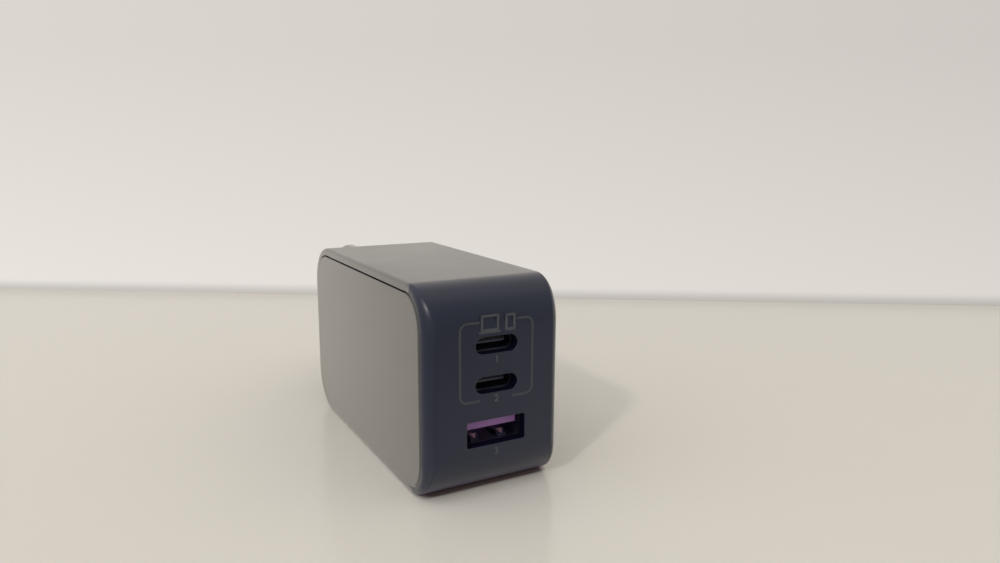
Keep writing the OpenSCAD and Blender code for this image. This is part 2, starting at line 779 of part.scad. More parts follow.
// Ferrite core: two plates, two outer legs and a round middle post
module transformer_core() {
    core_h = transformer_h - core_lift;
    color([0.2, 0.2, 0.21])
    translate([x_top + core_lift, y_transformer, z_mid]) union() {
        for (x = [0, core_h - core_t])
            translate([x, -transformer_l / 2, -transformer_w / 2])
                cube([core_t, transformer_l, transformer_w]);
        for (z = [-transformer_w / 2, transformer_w / 2 - core_t])
            translate([0, -transformer_l / 2, z]) cube([core_h, transformer_l, core_t]);
        rotate([0, 90, 0]) cylinder(r = core_post_r, h = core_h);
    }
}

// Bobbin: a tube with two flanges round the core's post, and a rail past each end of the core
module transformer_bobbin() {
    tube_r = core_post_r + coil_gap;
    rail_y = transformer_l / 2 + core_lift;
    color([0.85, 0.83, 0.76])
    translate([x_top, y_transformer, z_mid]) union() {
        rotate([0, 90, 0]) difference() {
            union() {
                translate([0, 0, coil_x0 + coil_gap])
                    cylinder(r = tube_r + bobbin_t, h = coil_x1 - coil_x0 - 2 * coil_gap);
                for (x = [coil_x0 + coil_gap, coil_x1 - coil_gap - bobbin_t])
                    translate([0, 0, x]) cylinder(r = coil_r, h = bobbin_t);
                translate([-bobbin_rail_w / 2, -rail_y - eps, coil_x0 + coil_gap])
                    cube([bobbin_rail_w, 2 * (rail_y + eps), bobbin_t]);
            }
            translate([0, 0, coil_x0 - 1]) cylinder(r = tube_r, h = coil_x1 - coil_x0 + 2);
        }
        for (y = [-rail_y - bobbin_rail_t, rail_y])
            translate([0, y, -bobbin_rail_w / 2])
                cube([coil_x0 + coil_gap + bobbin_t, bobbin_rail_t, bobbin_rail_w]);
    }
}

// Wound coil between the bobbin's flanges
module transformer_winding() {
    inner_r = core_post_r + coil_gap + bobbin_t + winding_fit;
    x0 = coil_x0 + coil_gap + bobbin_t + winding_fit;
    x1 = coil_x1 - coil_gap - bobbin_t - winding_fit;
    color([0.85, 0.65, 0.15])
    translate([x_top, y_transformer, z_mid]) rotate([0, 90, 0]) difference() {
        translate([0, 0, x0]) cylinder(r = coil_r * 0.94, h = x1 - x0);
        translate([0, 0, x0 - 1]) cylinder(r = inner_r, h = x1 - x0 + 2);
    }
}

// Upright capacitor can with a rolled groove near its foot
module capacitor_can(r, l) {
    groove = 0.3;
    rotate_extrude() polygon([
        [0, 0],
        [r, 0],
        [r, l * 0.12],
        [r - groove, l * 0.16],
        [r, l * 0.2],
        [r, l - groove],
        [r - groove, l],
        [0, l]
    ]);
}

module upper_input_capacitor() {
    color([0.15, 0.16, 0.2]) on_board(y_input_cap, z_mid + input_cap_dz) capacitor_can(input_cap_r, input_cap_l);
}

module lower_input_capacitor() {
    color([0.15, 0.16, 0.2]) on_board(y_input_cap, z_mid - input_cap_dz) capacitor_can(input_cap_r, input_cap_l);
}

// Two output capacitors beside the socket board
module output_capacitors() {
    color([0.72, 0.72, 0.74])
    for (side = [-1, 1])
        on_board(y_output_cap, z_mid + side * (output_cap_r + part_gap))
            capacitor_can(output_cap_r, output_cap_l);
}

// Film capacitor beside the choke
module film_capacitor() {
    color([0.85, 0.75, 0.3])
    translate([x_top, y_choke - choke_half, z_mid + part_gap])
        cube([film_cap_h, 2 * choke_half, film_cap_l]);
}

// Place of the choke: a ring on edge on the main board, below the film capacitor
module choke_place() {
    out_r = choke_r + choke_wire_t + winding_fit;
    translate([x_top + out_r, y_choke, z_mid - out_r - part_gap])
        rotate([90, 0, 0]) children();
}

module choke_core() {
    color([0.2, 0.32, 0.24]) choke_place()
    rotate_extrude() translate([choke_r - choke_ring_t, -choke_ring_t]) square([choke_ring_t, 2 * choke_ring_t]);
}

// Two windings, one on each side of the choke's ring
module choke_winding() {
    ring_c = choke_r - choke_ring_t / 2;
    inner = choke_ring_t + 2 * winding_fit;
    inner_l = 2 * (choke_ring_t + winding_fit);
    wall = 2 * choke_wire_t;
    turn = 140;
    color([0.72, 0.4, 0.2]) choke_place()
    for (half = [0, 180]) rotate([0, 0, half + (180 - turn) / 2])
        rotate_extrude(angle = turn) translate([ring_c, 0]) difference() {
            square([inner + wall, inner_l + wall - 2 * winding_fit], center = true);
            square([inner, inner_l], center = true);
        }
}

// Bridge rectifier, a flat moulded block with four legs folded on to the board
module bridge_rectifier() {
    leg_w = rectifier_l * 0.075;
    leg_t = rectifier_t / 8;
    leg_l = rectifier_w * 0.15;
    z0 = wall_t + rail_h + part_gap + leg_l;
    color([0.1, 0.1, 0.1])
    translate([x_top, y_input_cap - rectifier_l / 2, z0]) union() {
        cube([rectifier_t, rectifier_l, rectifier_w]);
        for (i = [0 : 3])
            translate([0, rectifier_l * (i + 0.5) / 4 - leg_w / 2, -leg_l]) cube([leg_t, leg_w, leg_l + eps]);
    }
}

// Fuse: a round body with two end caps
module fuse() {
    cap_r = fuse_r + 0.1;
    cap_l = fuse_l / 5;
    z = body_h - wall_t - rail_h - part_gap - cap_r;
    color([0.55, 0.35, 0.2])
    translate([x_top + cap_r, y_input_cap - fuse_l / 2, z]) rotate([-90, 0, 0]) union() {
        cylinder(r = fuse_r, h = fuse_l);
        for (y = [0, fuse_l - cap_l]) translate([0, 0, y]) cylinder(r = cap_r, h = cap_l);
    }
}

// Power chip on the main board, below the output capacitors
module power_chip() {
    z1 = z_mid - 2 * output_cap_r - 2 * part_gap;
    color([0.08, 0.08, 0.09])
    translate([x_top, y_output_cap - power_chip_l / 2, z1 - power_chip_w])
        cube([chip_t, power_chip_l, power_chip_w]);
}

// Control chip on the rear face of the socket board
module socket_control_chip() {
    color([0.08, 0.08, 0.09])
    translate([x_pad - control_chip_w, y_main_front, z_mid - control_chip_w / 2])
        cube([control_chip_w, chip_t, control_chip_w]);
}

// Soft pad between the transformer and the heat spreader
module thermal_pad() {
    color([0.75, 0.75, 0.85])
    translate([x_pad, y_transformer - transformer_l / 2, z_mid - transformer_w / 2])
        cube([pad_t, transformer_l, transformer_w]);
}

// Part of a plate along the right side that lies inside the panel's skirt
module right_plate(x, t, gap) {
    intersection() {
        across(x, x + t) skirt_outline(skirt_t + gap);
        translate([x, y_main_front + chip_t + gap, 0])
            cube([t, y_main_rear - y_main_front - chip_t - 2 * gap, body_h]);
    }
}

// Sheet metal heat spreader along the right side, with its upper edge folded in
module heat_spreader() {
    z_fold = body_h - wall_t - skirt_gap - skirt_t - spreader_gap - spreader_t;
    y_fold = y_main_front + chip_t + spreader_gap;
    color([0.75, 0.76, 0.78]) union() {
        right_plate(x_spreader, spreader_t, spreader_gap);
        translate([x_spreader - spreader_fold, y_fold, z_fold])
            cube([spreader_fold + eps, y_transformer + transformer_half - y_fold, spreader_t]);
    }
}

// Insulating sheet between the heat spreader and the right panel's ribs
module insulating_sheet() {
    color([0.9, 0.9, 0.85]) right_plate(x_sheet, sheet_t, sheet_gap);
}

housing();
left_side_panel();
right_side_panel();
plug_base();
upper_plug_pin();
lower_plug_pin();
upper_pin_sleeve();
lower_pin_sleeve();
upper_pin_contact();
lower_pin_contact();
upper_socket_shell();
upper_socket_tongue();
upper_socket_contacts();
lower_socket_shell();
lower_socket_tongue();
lower_socket_contacts();
wide_socket_shell();
wide_socket_tongue();
wide_socket_contacts();
socket_board();
main_board();
transformer_core();
transformer_bobbin();
transformer_winding();
upper_input_capacitor();
lower_input_capacitor();
film_capacitor();
choke_core();
choke_winding();
bridge_rectifier();
fuse();
output_capacitors();
power_chip();
socket_control_chip();
thermal_pad();
heat_spreader();
insulating_sheet();
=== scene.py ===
# Compact wall charger standing on a pale table, seen from its socket end.
# X runs across the socket face, Y from the socket face to the plug, and Z up.
import math
import bmesh
import bpy
from mathutils import Matrix, Vector


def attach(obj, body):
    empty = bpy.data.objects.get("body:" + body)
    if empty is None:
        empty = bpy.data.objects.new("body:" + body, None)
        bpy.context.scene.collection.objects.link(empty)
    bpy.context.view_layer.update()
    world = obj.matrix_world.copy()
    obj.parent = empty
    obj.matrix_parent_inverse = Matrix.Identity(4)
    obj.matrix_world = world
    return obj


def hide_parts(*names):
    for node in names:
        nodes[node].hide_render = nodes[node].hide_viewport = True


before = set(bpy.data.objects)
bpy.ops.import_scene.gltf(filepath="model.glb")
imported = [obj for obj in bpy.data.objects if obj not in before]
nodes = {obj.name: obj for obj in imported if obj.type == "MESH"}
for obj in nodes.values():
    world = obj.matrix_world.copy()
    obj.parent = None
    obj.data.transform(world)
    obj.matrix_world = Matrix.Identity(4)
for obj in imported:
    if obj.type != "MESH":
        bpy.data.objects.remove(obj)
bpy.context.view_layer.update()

MM = 0.001

# Body of the charger
BODY_HALF_W = 14.7 * MM
BODY_FRONT = -35.5 * MM
BODY_REAR = 35.5 * MM
BODY_TOP = 42.0 * MM
BODY_MID = 21.0 * MM
FRONT_CORNER = 8.8 * MM
REAR_CORNER = 9.8 * MM
WALL = 2.2 * MM
CAVITY_HALF_W = 12.95 * MM
PRINT_FILM = 0.02 * MM
# Roundings of the wrap's edges: wide up the socket face, narrow along top, rear and foot
FACE_EDGE = 2.6 * MM
RIM_EDGE = 0.5 * MM
# Z of a normal, below which a face of the lower curves belongs to the foot
FOOT_TURN = -0.965
# Rounding of a pocket's edge above and in front of its panel
POCKET_EDGE = 0.06 * MM
# Side panels let into the wrap, with the wrap's rims below and behind, above, and in front of them
PANEL_DEPTH = 1.8 * MM
PANEL_RIM = 1.3 * MM
PANEL_TOP_RIM = 1.7 * MM
PANEL_FACE_RIM = 2.7 * MM
PANEL_CORNER = 6.5 * MM
PANEL_REAR_CORNER = 8.05 * MM
# A panel sits down in its pocket, so its clearance shows above it
PANEL_GAP = 0.01 * MM
PANEL_TOP_GAP = 0.33 * MM
# Roundings of a panel's outer edge: wide up its front end, narrow along its top, none behind and below
PANEL_FACE_EDGE = 1.2 * MM
PANEL_EDGE = 0.2 * MM
PANEL_EDGE_END = 30 * MM
# Sockets
SMALL_SOCKET_HEIGHTS = (30.35 * MM, 22.6 * MM)
SMALL_SOCKET = (9.1 * MM, 3.3 * MM)
WIDE_SOCKET_HEIGHT = 13.05 * MM
WIDE_SOCKET = (12.7 * MM, 5.15 * MM)
WIDE_SOCKET_CORNER = 0.35 * MM
MOUTH_CHAMFER = 0.12 * MM
# Crests of the leaves in the wide socket, and the slope of their front flanks along Y and Z
LEAF_X = 3 * MM
LEAF_CREST = (-31.02 * MM, 11.52 * MM)
LEAF_SLOPE = (-0.832, -0.555)
# Size of the painted glint on each leaf
GLINT_RADIUS = 0.85 * MM
# Camera, at the photograph's place, with angles in degrees
CAMERA_PLACE = (-0.06553, -0.15289, 0.06715)
CAMERA_HEADING = 29.370
CAMERA_DOWN = 10.401
CAMERA_ROLL = 0.366
CAMERA_LENS = 26.39
# Ends of the seam between table and wall, in metres
SEAM_LEFT = (-0.1005, 0.2548, 0)
SEAM_RIGHT = (0.2698, 0.0208, 0)
WALL_HEIGHT = 1.5


# Selecting and shaping

def clear_selection():
    if bpy.context.object and bpy.context.object.mode != "OBJECT":
        bpy.ops.object.mode_set(mode="OBJECT")
    bpy.ops.object.select_all(action="DESELECT")


def take(piece):
    clear_selection()
    bpy.context.view_layer.objects.active = piece
    piece.select_set(True)


def edit(piece, select, kind):
    """Goes into edit mode with the vertices, edges or faces selected that pass a test."""
    take(piece)
    bpy.ops.object.mode_set(mode="EDIT")
    bpy.ops.mesh.select_mode(type=kind)
    bpy.ops.mesh.select_all(action="DESELECT")
    mesh = bmesh.from_edit_mesh(piece.data)
    parts = {"VERT": mesh.verts, "EDGE": mesh.edges, "FACE": mesh.faces}[kind]
    for part in parts:
        if select(part):
            part.select_set(True)
    mesh.select_flush_mode()
    bmesh.update_edit_mesh(piece.data)


def finish_edit():
    bpy.ops.object.mode_set(mode="OBJECT")


def place(piece):
    take(piece)
    bpy.ops.object.transform_apply(location=True, rotation=True, scale=True)


def apply_modifier(piece, kind, **settings):
    take(piece)
    modifier = piece.modifiers.new(kind.title(), kind)
    for name, value in settings.items():
        setattr(modifier, name, value)
    bpy.ops.object.modifier_apply(modifier=modifier.name)


def cut(piece, cutter):
    apply_modifier(piece, "BOOLEAN", operation="DIFFERENCE", object=cutter, solver="EXACT")
    bpy.data.objects.remove(cutter)


def smooth(piece, degrees=32):
    take(piece)
    bpy.ops.object.shade_smooth_by_angle(angle=math.radians(degrees))
    apply_modifier(piece, "WEIGHTED_NORMAL", keep_sharp=True, weight=50)


def block(name, x, y, z):
    """Block between two places along each axis."""
    clear_selection()
    bpy.ops.mesh.primitive_cube_add(size=1, location=(sum(x) / 2, sum(y) / 2, sum(z) / 2))
    piece = bpy.context.object
    piece.name = name
    piece.scale = (x[1] - x[0], y[1] - y[0], z[1] - z[0])
    place(piece)
    return piece


def runs_along(edge, axis):
    a, b = (v.co for v in edge.verts)
    return abs((b - a).normalized()[axis]) > 0.999


def rounded_slab(name, x, y, z, front_corner, rear_corner, steps):
    """Block whose long corners across X are rounded, with one radius in front and one behind."""
    piece = block(name, x, y, z)
    for end, radius in ((y[0], front_corner), (y[1], rear_corner)):
        edit(piece, lambda e: runs_along(e, 0) and all(abs(v.co.y - end) < 1e-7 for v in e.verts), "EDGE")
        bpy.ops.mesh.bevel(offset=radius, segments=steps, affect="EDGES", profile=0.5)
        finish_edit()
    return piece


# Camera

def make_camera():
    camera_data = bpy.data.cameras.new("camera")
    camera_data.sensor_width = 36
    camera_data.lens = CAMERA_LENS
    camera_data.clip_start = 0.01
    camera_data.clip_end = 20
    camera = bpy.data.objects.new("camera", camera_data)
    bpy.context.scene.collection.objects.link(camera)
    heading = math.radians(CAMERA_HEADING)
    down = math.radians(CAMERA_DOWN)
    roll = math.radians(CAMERA_ROLL)
    level = math.cos(down)
    ahead = Vector((math.sin(heading) * level, math.cos(heading) * level, -math.sin(down)))
    right = Vector((math.cos(heading), -math.sin(heading), 0))
    up = right.cross(ahead)
    right, up = (
        math.cos(roll) * right + math.sin(roll) * up,
        math.cos(roll) * up - math.sin(roll) * right,
    )
    turn = Matrix((right, up, -ahead)).transposed().to_4x4()
    camera.matrix_world = Matrix.Translation(CAMERA_PLACE) @ turn
    bpy.context.scene.camera = camera


# Wrap

def corner_turn(y, z):
    """How far round from the socket face to the top or foot a point near a front corner is, 0 to 1."""
    dy = (BODY_FRONT + FRONT_CORNER) - y
    dz = abs(z - BODY_MID) - (BODY_MID - FRONT_CORNER)
    if dy <= 0:
        return 1.0
    if dz <= 0:
        return 0.0
    return math.atan2(dz, dy) / (math.pi / 2)


def edge_rounding(y, z):
    t = corner_turn(y, z)
    part = t * t * (3 - 2 * t) if z > BODY_MID else t * (2 - t)
    return FACE_EDGE + (RIM_EDGE - FACE_EDGE) * part


def depth_inside(y, z):
    """Distance of a point from the wrap's side outline, inwards."""
    dz = BODY_MID - abs(z - BODY_MID)
    if y < BODY_FRONT + FRONT_CORNER and dz < FRONT_CORNER:
        return FRONT_CORNER - math.hypot(y - BODY_FRONT - FRONT_CORNER, FRONT_CORNER - dz)
    if y > BODY_REAR - REAR_CORNER and dz < REAR_CORNER:
        return REAR_CORNER - math.hypot(y - BODY_REAR + REAR_CORNER, REAR_CORNER - dz)
    return min(dz, y - BODY_FRONT, BODY_REAR - y)


def sink_pocket(wrap, side):
    """Insets one side face to the panel's outline and pushes it in by the panel's depth."""
    edit(wrap, lambda f: f.normal.x * side > 0.99, "FACE")
    bpy.ops.mesh.inset(thickness=PANEL_RIM)
    mesh = bmesh.from_edit_mesh(wrap.data)
    old_y = BODY_FRONT + FRONT_CORNER
    new_y = BODY_FRONT + PANEL_FACE_RIM + PANEL_CORNER
    for vert in mesh.verts:
        if not vert.select:
            continue
        upper = vert.co.z > BODY_MID
        if vert.co.y > old_y + 1e-7:
            vert.co.z -= PANEL_TOP_RIM - PANEL_RIM if upper else 0
            continue
        old_z = BODY_TOP - FRONT_CORNER if upper else FRONT_CORNER
        new_z = BODY_TOP - PANEL_TOP_RIM - PANEL_CORNER if upper else PANEL_RIM + PANEL_CORNER
        turn = math.atan2(vert.co.z - old_z, vert.co.y - old_y)
        vert.co.y = new_y + PANEL_CORNER * math.cos(turn)
        vert.co.z = new_z + PANEL_CORNER * math.sin(turn)
    bmesh.update_edit_mesh(wrap.data)
    bpy.ops.mesh.extrude_region_move(TRANSFORM_OT_translate={"value": (-side * PANEL_DEPTH, 0, 0)})
    finish_edit()


def round_wrap_edges(wrap):
    """Rounds the wrap's two side edges by a width that grows towards the socket face."""
    weights = wrap.data.attributes.new("bevel_weight_edge", "FLOAT", "EDGE").data
    for edge in wrap.data.edges:
        a, b = (wrap.data.vertices[v].co for v in edge.vertices)
        middle = (a + b) / 2
        if abs(a.x - b.x) > 1e-6 or abs(abs(middle.x) - BODY_HALF_W) > 1e-6:
            continue
        depths = (depth_inside(a.y, a.z), depth_inside(b.y, b.z))
        on_outline = max(depths) < 0.3 * MM
        round_pocket = min(depths) > 1.0 * MM
        above_or_in_front = middle.z > BODY_TOP - 2 * MM or middle.y < BODY_FRONT + FRONT_CORNER
        if on_outline:
            weights[edge.index].value = edge_rounding(middle.y, middle.z) / FACE_EDGE
        elif round_pocket and above_or_in_front:
            weights[edge.index].value = POCKET_EDGE / FACE_EDGE
    apply_modifier(wrap, "BEVEL", width=FACE_EDGE, segments=7, limit_method="WEIGHT", profile=0.40,
        use_clamp_overlap=False, miter_outer="MITER_SHARP")


def flare_mouth(cutter, grow):
    """Widens the front end of a cutter, so that the opening it leaves has a fine chamfer."""
    points = [v.co for v in cutter.data.vertices]
    low = Vector([min(p[i] for p in points) for i in range(3)])
    high = Vector([max(p[i] for p in points) for i in range(3)])
    edit(cutter, lambda f: f.normal.y < -0.99, "FACE")
    bpy.ops.mesh.extrude_region_move(TRANSFORM_OT_translate={"value": (0, -grow, 0)})
    size = high - low
    bpy.ops.transform.resize(
        value=(1 + 2 * grow / size.x, 1, 1 + 2 * grow / size.z),
        center_override=((low.x + high.x) / 2, low.y - grow, (low.z + high.z) / 2))
    finish_edit()


def opening_cutter(name, size, height, corner, steps):
    y = (BODY_FRONT + MOUTH_CHAMFER, BODY_FRONT + WALL + 1 * MM)
    cutter = block(name, (-size[0] / 2, size[0] / 2), y, (height - size[1] / 2, height + size[1] / 2))
    edit(cutter, lambda e: runs_along(e, 1), "EDGE")
    bpy.ops.mesh.bevel(offset=corner, segments=steps, affect="EDGES", profile=0.5)
    finish_edit()
    flare_mouth(cutter, 2 * MOUTH_CHAMFER)
    return cutter


def plug_base_outline(grow):
    """Points round the plug base: straight flanks, and ends rounded between sloping shoulders."""
    end = Vector((0, 13.5 * MM))
    side = Vector((5.25 * MM, 11.45 * MM))
    end_r = 4.5 * MM + grow
    side_r = 1.6 * MM + grow
    between = end - side
    lean = math.acos((side_r - end_r) / between.length)
    slope = math.atan2(between.y, between.x) - lean
    side_steps, end_steps = 8, 14
    quarter = []
    for i in range(side_steps + 1):
        a = slope * i / side_steps
        quarter.append(side + side_r * Vector((math.cos(a), math.sin(a))))
    for i in range(end_steps + 1):
        a = slope + (math.pi / 2 - slope) * i / end_steps
        quarter.append(end + end_r * Vector((math.cos(a), math.sin(a))))
    upper = quarter + [Vector((-p.x, p.y)) for p in reversed(quarter[:-1])]
    return upper + [Vector((-p.x, -p.y)) for p in upper]


def plug_base_block(name, y, grow):
    outline = plug_base_outline(grow)
    mesh = bpy.data.meshes.new(name)
    mesh.from_pydata([(p.x, y[0], BODY_MID + p.y) for p in outline], [], [list(range(len(outline)))])
    piece = bpy.data.objects.new(name, mesh)
    bpy.context.scene.collection.objects.link(piece)
    edit(piece, lambda f: True, "FACE")
    bpy.ops.mesh.extrude_region_move(TRANSFORM_OT_translate={"value": (0, y[1] - y[0], 0)})
    bpy.ops.mesh.select_all(action="SELECT")
    bpy.ops.mesh.normals_make_consistent(inside=False)
    finish_edit()
    return piece


def make_wrap():
    wrap = rounded_slab("wrap", (-BODY_HALF_W, BODY_HALF_W), (BODY_FRONT + PRINT_FILM, BODY_REAR),
        (0, BODY_TOP), FRONT_CORNER, REAR_CORNER, 24)
    for side in (-1, 1):
        sink_pocket(wrap, side)
    round_wrap_edges(wrap)
    cut(wrap, rounded_slab("cavity", (-CAVITY_HALF_W, CAVITY_HALF_W), (BODY_FRONT + WALL, BODY_REAR - WALL),
        (WALL, BODY_TOP - WALL), FRONT_CORNER - WALL, REAR_CORNER - WALL, 12))
    for height in SMALL_SOCKET_HEIGHTS:
        cut(wrap, opening_cutter("small_opening", SMALL_SOCKET, height, SMALL_SOCKET[1] * 0.4999, 12))
    cut(wrap, opening_cutter("wide_opening", WIDE_SOCKET, WIDE_SOCKET_HEIGHT, WIDE_SOCKET_CORNER, 4))
    cut(wrap, plug_base_block("base_window", (25 * MM, 36 * MM), 0.12 * MM))
    smooth(wrap)
    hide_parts("housing")
    return wrap


# Side panels

def make_side_panel(side):
    name = "right_panel" if side > 0 else "left_panel"
    x = sorted((side * (BODY_HALF_W - PANEL_DEPTH), side * BODY_HALF_W))
    rim = PANEL_RIM + PANEL_GAP
    y = (BODY_FRONT + PANEL_FACE_RIM + PANEL_GAP, BODY_REAR - rim)
    panel = rounded_slab(name, x, y, (rim, BODY_TOP - PANEL_TOP_RIM - PANEL_TOP_GAP),
        PANEL_CORNER - PANEL_GAP, PANEL_REAR_CORNER, 20)
    weights = panel.data.attributes.new("bevel_weight_edge", "FLOAT", "EDGE").data
    for edge in panel.data.edges:
        a, b = (panel.data.vertices[v].co for v in edge.vertices)
        middle = (a + b) / 2
        if abs(a.x - b.x) < 1e-6 and abs(middle.x - side * BODY_HALF_W) < 1e-6:
            t = min(max((middle.y - y[0]) / PANEL_CORNER, 0), 1)
            narrow = PANEL_EDGE if middle.z > BODY_MID and middle.y < PANEL_EDGE_END else 0
            rounding = PANEL_FACE_EDGE + (narrow - PANEL_FACE_EDGE) * t
            weights[edge.index].value = rounding / PANEL_FACE_EDGE
    apply_modifier(panel, "BEVEL", width=PANEL_FACE_EDGE, segments=6, limit_method="WEIGHT",
        use_clamp_overlap=False, miter_outer="MITER_SHARP")
    smooth(panel)
    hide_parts("right_side_panel" if side > 0 else "left_side_panel")
    return panel


# Print on the socket face

def print_ring(name, x, z, corner, line, breaks=()):
    """Thin printed outline of a rounded rectangle, left open where a break crosses it."""
    clear_selection()
    bpy.ops.mesh.primitive_plane_add(size=1, location=(sum(x) / 2, BODY_FRONT, sum(z) / 2),
        rotation=(math.pi / 2, 0, 0))
    ring = bpy.context.object
    ring.name = name
    ring.scale = (x[1] - x[0], z[1] - z[0], 1)
    place(ring)
    edit(ring, lambda v: True, "VERT")
    bpy.ops.mesh.bevel(offset=corner, segments=6, affect="VERTICES")
    bpy.ops.mesh.select_all(action="SELECT")
    bpy.ops.mesh.select_mode(type="FACE")
    bpy.ops.mesh.inset(thickness=line)
    bpy.ops.mesh.delete(type="FACE")
    finish_edit()
    for low, high, z_low, z_high in breaks:
        for place_x in (low, high):
            edit(ring, lambda f: True, "FACE")
            bpy.ops.mesh.bisect(plane_co=(place_x, 0, 0), plane_no=(1, 0, 0))
            finish_edit()
        edit(ring, lambda f: low < f.calc_center_median().x < high
            and z_low < f.calc_center_median().z < z_high, "FACE")
        bpy.ops.mesh.delete(type="FACE")
        finish_edit()
    apply_modifier(ring, "SOLIDIFY", thickness=PRINT_FILM, offset=-1)
    return ring


def print_bar(name, x, z):
    return block(name, x, (BODY_FRONT, BODY_FRONT + PRINT_FILM), z)


def print_numeral(name, figure, x, z, height):
    """Printed figure, a little bolder than the plain font."""
    clear_selection()
    bpy.ops.object.text_add(location=(x, BODY_FRONT, z), rotation=(math.pi / 2, 0, 0))
    numeral = bpy.context.object
    numeral.name = name
    numeral.data.body = figure
    numeral.data.align_x = "CENTER"
    numeral.data.align_y = "CENTER"
    numeral.data.size = height * 1.4
    numeral.data.offset = 0.045 * MM
    take(numeral)
    bpy.ops.object.convert(target="MESH")
    numeral = bpy.context.object
    place(numeral)
    apply_modifier(numeral, "SOLIDIFY", thickness=PRINT_FILM, offset=-1)
    return numeral


def make_print():
    """A frame round the small sockets, open at its signs and numeral, and a numeral below each socket."""
    half_w = 8.1 * MM
    line = 0.5 * MM
    icon_corner = 0.35 * MM
    pieces = [
        print_ring("print_frame", (-half_w, half_w), (19.45 * MM, 35.25 * MM), 1.7 * MM, line, (
            (-3.75 * MM, 4.35 * MM, 30 * MM, 40 * MM),
            (-3.6 * MM, 3.4 * MM, 10 * MM, 25 * MM),
        )),
        print_ring("print_screen", (-3.5 * MM, 0.4 * MM), (33.1 * MM, 36.35 * MM), icon_corner, line),
        print_bar("print_screen_foot", (-3.85 * MM, 0.75 * MM), (32.75 * MM, 33.15 * MM)),
        print_ring("print_handset", (1.75 * MM, 4.0 * MM), (32.85 * MM, 36.15 * MM), icon_corner, line),
    ]
    numerals = (("print_one", "1", 27.4), ("print_two", "2", 19.7), ("print_three", "3", 8.95))
    for name, figure, height in numerals:
        pieces.append(print_numeral(name, figure, 0, height * MM, 1.4 * MM))
    return pieces


# Painted glints on the leaves that hold a plug in the wide socket

def make_glint_spot(name, x):
    """Thin triangle of painted glint on a leaf's front flank, broad at the crest and pointed towards the
    mouth.
    """
    clear_selection()
    slope = math.atan2(LEAF_SLOPE[1], LEAF_SLOPE[0])
    half = GLINT_RADIUS / 2
    y, z = LEAF_CREST
    bpy.ops.mesh.primitive_circle_add(vertices=3, radius=GLINT_RADIUS, fill_type="NGON",
        rotation=(slope, 0, 0), location=(x, y + half * math.cos(slope), z + half * math.sin(slope)))
    spot = bpy.context.object
    spot.name = name
    place(spot)
    apply_modifier(spot, "SOLIDIFY", thickness=PRINT_FILM, offset=-1)
    return spot


# Shared shader groups

def new_group(name, inputs, outputs):
    group = bpy.data.node_groups.new(name, "ShaderNodeTree")
    for label, kind, value in inputs:
        socket = group.interface.new_socket(label, in_out="INPUT", socket_type="NodeSocket" + kind)
        if value is not None:
            socket.default_value = value
    for label, kind in outputs:
        group.interface.new_socket(label, in_out="OUTPUT", socket_type="NodeSocket" + kind)
    return group, group.nodes.new("NodeGroupInput"), group.nodes.new("NodeGroupOutput")


def math_node(tree, operation, a, b=None, clamp=False):
    node = tree.nodes.new("ShaderNodeMath")
    node.operation = operation
    node.use_clamp = clamp
    for socket, value in zip(node.inputs, (a, b)):
        if isinstance(value, (int, float)):
            socket.default_value = value
        elif value is not None:
            tree.links.new(value, socket)
    return node.outputs[0]


def past(tree, value, start, gain):
    """0 up to a start, and then rising by a gain as far as 1."""
    return math_node(tree, "MULTIPLY", math_node(tree, "SUBTRACT", value, start), gain, clamp=True)


def map_smoothly(tree, value, places, ends=(0.0, 1.0)):
    """Value between two ends, along a smooth step between two places."""
    node = tree.nodes.new("ShaderNodeMapRange")
    node.interpolation_type = "SMOOTHSTEP"
    tree.links.new(value, node.inputs["Value"])
    node.inputs["From Min"].default_value = places[0]
    node.inputs["From Max"].default_value = places[1]
    node.inputs["To Min"].default_value = ends[0]
    node.inputs["To Max"].default_value = ends[1]
    return node.outputs["Result"]


def object_axes(tree):
    """Object coordinates, one output for each axis."""
    axes = tree.nodes.new("ShaderNodeSeparateXYZ")
    tree.links.new(tree.nodes.new("ShaderNodeTexCoord").outputs["Object"], axes.inputs[0])
    return axes.outputs


def noise_node(tree, where, scale, detail, roughness=0.5):
    node = tree.nodes.new("ShaderNodeTexNoise")
    tree.links.new(where, node.inputs["Vector"])
    if isinstance(scale, (int, float)):
        node.inputs["Scale"].default_value = scale
    else:
        tree.links.new(scale, node.inputs["Scale"])
    node.inputs["Detail"].default_value = detail
    node.inputs["Roughness"].default_value = roughness
    return node.outputs["Fac"]


def make_moulded_grain():
    """Fine uneven skin of moulded plastic, as a normal."""
    group, given, out = new_group("moulded_grain",
        (("Scale", "Float", 4000.0), ("Depth", "Float", 0.00001)), (("Normal", "Vector"),))
    where = group.nodes.new("ShaderNodeTexCoord").outputs["Object"]
    fine = noise_node(group, where, given.outputs["Scale"], 2)
    bump = group.nodes.new("ShaderNodeBump")
    bump.inputs["Strength"].default_value = 1.0
    group.links.new(given.outputs["Depth"], bump.inputs["Distance"])
    group.links.new(fine, bump.inputs["Height"])
    group.links.new(bump.outputs["Normal"], out.inputs["Normal"])
    return group


def make_tone_drift():
    """Slow change of tone over a surface, from 0 to 1 about a half."""
    group, given, out = new_group("tone_drift", (("Scale", "Float", 60.0), ("Contrast", "Float", 1.0)),
        (("Mask", "Float"),))
    where = group.nodes.new("ShaderNodeTexCoord").outputs["Object"]
    slow = noise_node(group, where, given.outputs["Scale"], 3)
    centred = math_node(group, "SUBTRACT", slow, 0.5)
    spread = math_node(group, "MULTIPLY", centred, given.outputs["Contrast"])
    group.links.new(math_node(group, "ADD", spread, 0.5, clamp=True), out.inputs["Mask"])
    return group


